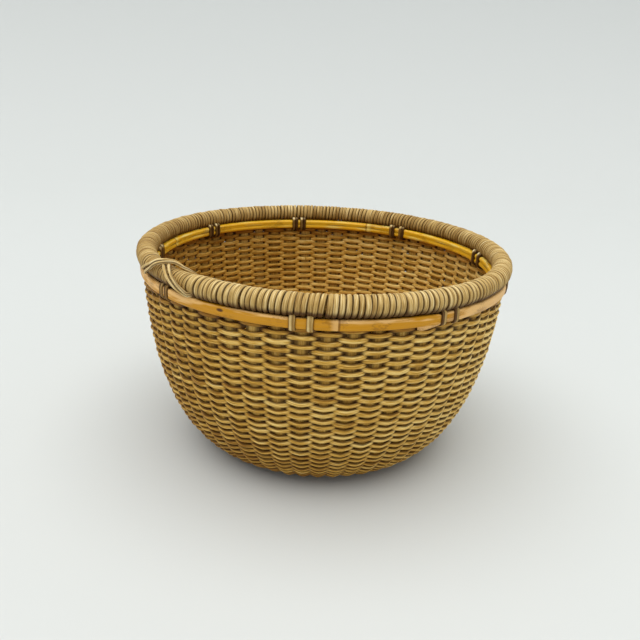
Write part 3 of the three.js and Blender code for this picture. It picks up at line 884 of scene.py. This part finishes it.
outer_bamboo = bamboo("worn_outer_bamboo", screen(104, 58, 10), screen(206, 144, 28),
                      screen(242, 192, 118), screen(206, 142, 0),
                      roughness=0.5, shine=0.3, edge_paling=0.035, nodes=outer_nodes,
                      groove=0.8, split=0.0, scars=outer_scars)
inner_bamboo = bamboo("golden_inner_bamboo", screen(124, 74, 4), screen(252, 198, 40),
                      screen(255, 226, 116), screen(250, 186, 14),
                      roughness=0.36, shine=0.5, edge_paling=-0.01, nodes=inner_nodes,
                      groove=0.8, split=0.8)
print("bamboo finishes:", outer_bamboo.name, inner_bamboo.name)

# %% [markdown]
# ## Where the lashings go
# Nine pairs of straps hold the hoops to the wall. Four pairs stand astride a stake, and five share one gap
# between two stakes. The places are counted in stakes, and a half is such a gap. The hoops are softer
# than they look: each strap has pressed its own dent, so the hoops need these places too.

# %% Name the lashings' places
LASHING_PLACES = (0, 6, 11.5, 16, 23, 29.5, 35.5, 41.5, 47.5)
ASTRIDE = (4.05, 4.45)  # from a pair's middle to its straps, inside and outside the wall
BETWEEN = (3.1, 2.6)  # the same for a pair in one gap
DENT_HALF = (2.4, 1.9)  # half the length of a dent, inside and outside


def strap_offsets(place):
    """A whole place is on a stake, and a half is a gap."""
    return ASTRIDE if place == int(place) else BETWEEN


def dents(angle, radius, outside, wider=0.0):
    """1 under the middle of each strap, and near 0 beyond its dent. outside is 0 or 1."""
    half = DENT_HALF[outside] + wider
    pressed = 0 * angle
    for place in LASHING_PLACES:
        for side in (-1, 1):
            at = FIRST_STAKE + place * TURN / STAKES + side * strap_offsets(place)[outside] / radius
            away = radius * ((angle - at + TURN / 2) % TURN - TURN / 2)
            pressed = np.maximum(pressed, np.exp(-(away / half) ** 4))
    return pressed


first_pair = FIRST_STAKE + np.linspace(-0.06, 0.06, 7)
print("dents at the first pair:", np.round(dents(first_pair, stake_outer, 1), 2))

# %% [markdown]
# ### Bending a hoop
# A hoop is one strip bent round, with its two ends shaved down where they lie side by side. The strip is
# swept once round and on past its start: over that stretch its first end is shaved on the side that shows,
# and its last end lies over it. On the outer hoop the first end has slipped, and peeps out below.

# %% Bend a hoop
HOOP_STEPS = 1440
SCARF_STEPS = 40
TIP_SHARE = 0.3  # of the thickness is left at a shaved end
TIP_WIDTH = 0.75  # of the width is left there
ROUNDED_END = 2.4  # over so many mm the width shrinks to that
HOOP_WAVE = 0.12
GRIME_AND_SHADE_BEYOND = 0.8  # how far the soiling and painted shade reach past a dent
# how dark the soiling and painted shade round a dent get
HOOP_GRIME_AND_SHADE = 0.7
HOOP_TONE = 0.48
SUN = 0.25  # painted sheen: what it adds to the tone at the sides
# painted light: more sheen on the right, less on the left
SHEEN_FROM_RIGHT = 0.07
# painted light on the slipped end, which lies in the strip's shade
PAINTED_LIGHT_ON_END = 0.4


def hoop(bundle, section, inside, thickness, low, high, start, scarf, outward, sag, pressed):
    """One strip from its scarf round to its scarf again. sag lets the first end peep out below.

    outward is 1 if the strip's face looks out, and -1 if it looks in. pressed is the depth of a dent. What
    faces out gets a painted sheen at the sides and painted light on the slipped end, and round the dents
    each strip gets soiling and painted shade.
    """
    once_round = np.linspace(0, TURN, HOOP_STEPS + 1)[:-1]
    angle = np.concatenate([once_round, np.linspace(TURN, TURN + scarf, SCARF_STEPS + 1)])
    hidden_cut = (1 - TIP_SHARE) * np.clip((angle - TURN) / scarf, 0, 1)
    shown_cut = (1 - TIP_SHARE) * np.clip(1 - angle / scarf, 0, 1)
    kept = 1 - hidden_cut - shown_cut
    outside = int(outward > 0)
    dent = pressed * dents(start + angle, inside, outside) * kept
    # soiling and painted shade round each dent
    grime_and_shade = dents(start + angle, inside, outside, GRIME_AND_SHADE_BEYOND)
    middle = inside + thickness / 2
    radius = middle + outward * (thickness * (hidden_cut - shown_cut) - dent) / 2
    level = (low + high) / 2 - sag * (1 - smooth(angle, 0, 1.4 * scarf)) + HOOP_WAVE * np.sin(5 * angle)
    to_end = middle * np.minimum(angle, TURN + scarf - angle)
    wide = (high - low - 0.5 * dent) * (TIP_WIDTH + (1 - TIP_WIDTH) * smooth(to_end, 0, ROUNDED_END))
    out = around(angle + start, outward + 0 * angle, 0.0)
    sideways = np.sin(start + angle)
    # painted sheen at the sides, more on the right, and painted light on the slipped end
    sheen = SUN + SHEEN_FROM_RIGHT * sideways
    tone = HOOP_TONE + outside * sheen * smooth(np.abs(sideways), 0.4, 0.9)
    tone = tone + PAINTED_LIGHT_ON_END * outside * (1 - smooth(angle, 0.8 * scarf, 1.4 * scarf))
    path = around(start + angle, radius, level)
    bundle.add(path, out, wide, thickness * kept - dent, section, tone, HOOP_GRIME_AND_SHADE * grime_and_shade)


print("a hoop has", HOOP_STEPS + SCARF_STEPS, "steps")

# %% Bend the outer hoop
ROOM_ABOVE = 0.35  # the strip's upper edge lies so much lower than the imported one's
outer_hoop = Bundle()
hoop(outer_hoop, oval(20, 0.5), stake_outer + CLEARANCE, OUTER_HOOP_THICKNESS, outer_hoop_low,
     outer_hoop_high - ROOM_ABOVE, OUTER_SCARF_START, scarf=math.radians(6.4), outward=1.0,
     sag=3.1, pressed=0.9)
outer_hoop.piece("outer_bamboo_hoop", outer_bamboo, "outer_hoop", "outer_hoop")

# %% Bend the inner hoop
SPLIT_DEPTH = 0.3  # of the groove between its two ridges, as a share of half the thickness
SPLIT_HALF = 0.16  # its half width, as a share of half the strip's width
ridged = oval(32, 0.55)
ridged[:, 1] *= 1 - SPLIT_DEPTH * np.exp(-(ridged[:, 0] / SPLIT_HALF) ** 2) * (ridged[:, 1] > 0)
inner_inside = stake_inner - CLEARANCE - INNER_HOOP_THICKNESS
inner_hoop = Bundle()
hoop(inner_hoop, ridged, inner_inside, INNER_HOOP_THICKNESS, inner_hoop_low, inner_hoop_high,
     INNER_SCARF_START, scarf=math.radians(10), outward=-1.0, sag=0.3, pressed=1.2)
inner_hoop.piece("inner_bamboo_hoop", inner_bamboo, "inner_hoop", "inner_hoop")

# %% [markdown]
# ## Lashings
# A strap is two strands laid side by side. Outside they are pressed together to one flat band, and inside
# they spread a little. It goes down over the outer hoop, through the weave, up over the inner hoop, and in
# under the winding, drawn so tight that it lies in the dents. Where it turns in under the winding it
# bulges to a knob with a painted highlight; below, on the inner hoop, it is darker. The path is a short
# list of corners, each a radius and a level, and cutting its corners a few times rounds it off.

# %% Draw the line of a strap
STRAND_WIDTH = 1.85
STRAND_THICKNESS = 1.35
STRAP_PROUD = 0.45  # out of its hoop
strap_outer = outer_hoop_out + STRAP_PROUD - STRAND_THICKNESS / 2
strap_inner = inner_inside - STRAP_PROUD + STRAND_THICKNESS / 2
strap_under = strap_low + STRAND_THICKNESS / 2
strap_over = inner_hoop_high + CLEARANCE + STRAND_THICKNESS / 2
outer_hoop_middle = (outer_hoop_low + outer_hoop_high) / 2
inner_hoop_middle = (inner_hoop_low + inner_hoop_high) / 2


def rounded(corners, times):
    """Cuts the corners of a line, and keeps its ends."""
    line = np.array(corners, float)
    for _ in range(times):
        early = 0.75 * line[:-1] + 0.25 * line[1:]
        late = 0.25 * line[:-1] + 0.75 * line[1:]
        middle = np.stack([early, late], 1).reshape(-1, line.shape[1])
        line = np.concatenate([line[:1], middle, line[-1:]])
    return line


strap_line = rounded([
    (strap_outer - 4.2, outer_hoop_high + 1.6), (strap_outer - 1.0, outer_hoop_high + 0.9),
    (strap_outer - 0.1, outer_hoop_high - 0.6), (strap_outer, outer_hoop_middle),
    (strap_outer - 0.1, outer_hoop_low + 0.2), (strap_outer - 1.5, strap_under),
    (stake_outer, strap_under), (stake_inner, strap_under),
    (strap_inner + 1.5, strap_under), (strap_inner, inner_hoop_low + 0.2),
    (strap_inner, inner_hoop_middle), (strap_inner, inner_hoop_high - 0.3),
    (strap_inner + 0.8, strap_over + 0.4), (strap_inner + 3.5, strap_over + 0.3),
], 3)
strap_length = np.sum(np.linalg.norm(np.diff(strap_line, axis=0), axis=1))
print("a strap's line is %.1f mm long, in %d points" % (strap_length, len(strap_line)))

# %% Lay one strand of a strap
PRESSED_TOGETHER = 0.4  # half the way from strand to strand, in widths of a strand
SPREAD_INSIDE = 0.24  # what is added to that inside
WIDER_INSIDE = 0.12
DARKER_INSIDE = 0.35
KNOB_WIDER = 0.1
KNOB_THICKER = 0.3
# painted highlight on the knob
KNOB_HIGHLIGHT = 0.8


def strap(bundle, place, side, part, tone, strand_shade):
    """side is the strap in its pair, and part the strand in its strap: both are -1 or 1."""
    radius, level = strap_line[:, 0], strap_line[:, 1]
    inside, outside = strap_offsets(place)
    offset = side * (inside + (outside - inside) * smooth(radius, stake_inner, stake_outer))
    within = smooth(-radius, -stake_outer, -stake_inner)
    apart = part * STRAND_WIDTH * (PRESSED_TOGETHER + SPREAD_INSIDE * within)
    offset = offset + apart * (1 + 0.05 * np.sin(level))
    angle = FIRST_STAKE + place * TURN / STAKES
    ahead = around(np.array([angle]), 1.0, 0.0)[0]
    across = np.array([math.cos(angle), math.sin(angle), 0.0])
    path = ahead * radius[:, None] + across * offset[:, None] + np.array([0, 0, 1.0]) * level[:, None]
    centre = ahead * ((strap_inner + strap_outer) / 2) + np.array([0, 0, (strap_low + strap_over) / 2])
    out = unit(path - centre - across * ((path - centre) @ across)[:, None])
    knob = smooth(-radius, -strap_inner - 3, -strap_inner - 1)
    knob = within * smooth(level, inner_hoop_high - 0.8, strap_over) * knob
    places = np.linspace(0, 7, len(strap_line))
    wide = STRAND_WIDTH * (1 + WIDER_INSIDE * within + KNOB_WIDER * knob + wander(places, 0.05))
    thick = STRAND_THICKNESS * (1 + KNOB_THICKER * knob)
    # darker inside the wall, with a painted highlight on the knob
    tone = tone - DARKER_INSIDE * within + KNOB_HIGHLIGHT * knob
    # soiled, darker inside the wall, and a strand in painted shade darker still
    grime_and_shade = 0.2 + strand_shade + 0.25 * within * (1 - knob)
    bundle.add(path, out, wide, thick, oval(10, 0.85), tone, grime_and_shade, 70 * part + 31 * angle)


print("the strands of a strap are %.2f mm apart outside" % (2 * PRESSED_TOGETHER * STRAND_WIDTH))

# %% Tie the lashings
STRAP_TONE = 0.38
PAINTED_STRAND_SHADE = 0.35  # painted shade on the first strand of each strap, but not in the front pair

for number, place in enumerate(LASHING_PLACES, 1):
    for side, name in ((-1, "left"), (1, "right")):
        bundle = Bundle()
        for part in (-1, 1):
            # painted shade on the first strand
            strand_shade = PAINTED_STRAND_SHADE if number > 1 and part < 0 else 0.0
            strap(bundle, place, side, part, STRAP_TONE - strand_shade + rng.normal(0, 0.1), strand_shade)
        node = f"lashing_{number}_{name}"
        bundle.piece(node + "_strap", winding_cane, "winding_cane", node)

# %% [markdown]
# ## Floor and light
# The floor is a plain pale sheet that curves up into a backdrop far behind the basket, so that no line
# shows between them. One very wide lamp like a window, nearly overhead, gives the soft shadow, and a pale
# world fills the rest.

# %% Lay the floor
SHEET_HALF = 6000.0
SHEET_TOP = 4000.0
CURVE_START = 900.0
CURVE_RADIUS = 900.0
CURVE_STEPS = 24
bend = np.linspace(0, math.pi / 2, CURVE_STEPS + 1)
curve_y = CURVE_START + CURVE_RADIUS * np.sin(bend)
sheet_y = np.concatenate([[-SHEET_HALF], curve_y, [CURVE_START + CURVE_RADIUS]])
sheet_z = np.concatenate([[0], CURVE_RADIUS * (1 - np.cos(bend)), [SHEET_TOP]])
edge = [[(x * MM, y * MM, z * MM) for y, z in zip(sheet_y, sheet_z)] for x in (-SHEET_HALF, SHEET_HALF)]
count = len(sheet_y)
quads = [(i, i + count, i + count + 1, i + 1) for i in range(count - 1)]
floor_mesh = bpy.data.meshes.new("floor")
floor_mesh.from_pydata(edge[0] + edge[1], [], quads)
floor_mesh.polygons.foreach_set("use_smooth", np.ones(count - 1, bool))
floor = bpy.data.objects.new("floor", floor_mesh)
scene.collection.objects.link(floor)
floor_paint = bpy.data.materials.new("pale_floor")
floor_paint.use_nodes = True
floor_shader = floor_paint.node_tree.nodes["Principled BSDF"]
floor_shader.inputs["Base Color"].default_value = screen(212, 215, 214)
floor_shader.inputs["Roughness"].default_value = 0.7
floor_shader.inputs["Specular IOR Level"].default_value = 0.2
floor_mesh.materials.append(floor_paint)
print("the floor has", len(quads), "quads")

# %% Light the room
ROOM_STRENGTH = 0.52
scene.view_settings.view_transform = "Standard"
world = bpy.data.worlds.new("pale_room")
scene.world = world
world.use_nodes = True
world.node_tree.nodes.clear()
room = Sock(world.node_tree)
is_camera = room.node("LightPath", {}, {}, out=0)
is_glossy = room.node("LightPath", {}, {}, out=3)
is_through = room.node("LightPath", {}, {}, out=6)
straight = room.math("MAXIMUM", room.math("MAXIMUM", is_camera, is_glossy), is_through)
fill = room.node("Background", {}, {"Color": (0.95, 0.98, 1.0, 1), "Strength": ROOM_STRENGTH})
wall_paper = room.node("Background", {}, {"Color": screen(228, 232, 230), "Strength": 1.0})
shown = room.node("MixShader", {}, {0: straight, 1: fill, 2: wall_paper})
room.node("OutputWorld", {}, {0: shown})
print("the world has", len(world.node_tree.nodes), "nodes")

# %% Open the window
WINDOW_STRENGTH = 2.55
WINDOW_SPREAD = math.radians(80)
window = bpy.data.objects.new("window", bpy.data.lights.new("window", "SUN"))
window.data.energy = WINDOW_STRENGTH
window.data.angle = WINDOW_SPREAD
window.data.color = (1.0, 0.985, 0.95)
toward = Vector((-0.1, -0.1, 1.0))
window.rotation_euler = toward.to_track_quat("Z", "Y").to_euler()
scene.collection.objects.link(window)
print("light from", [round(v, 2) for v in toward.normalized()])
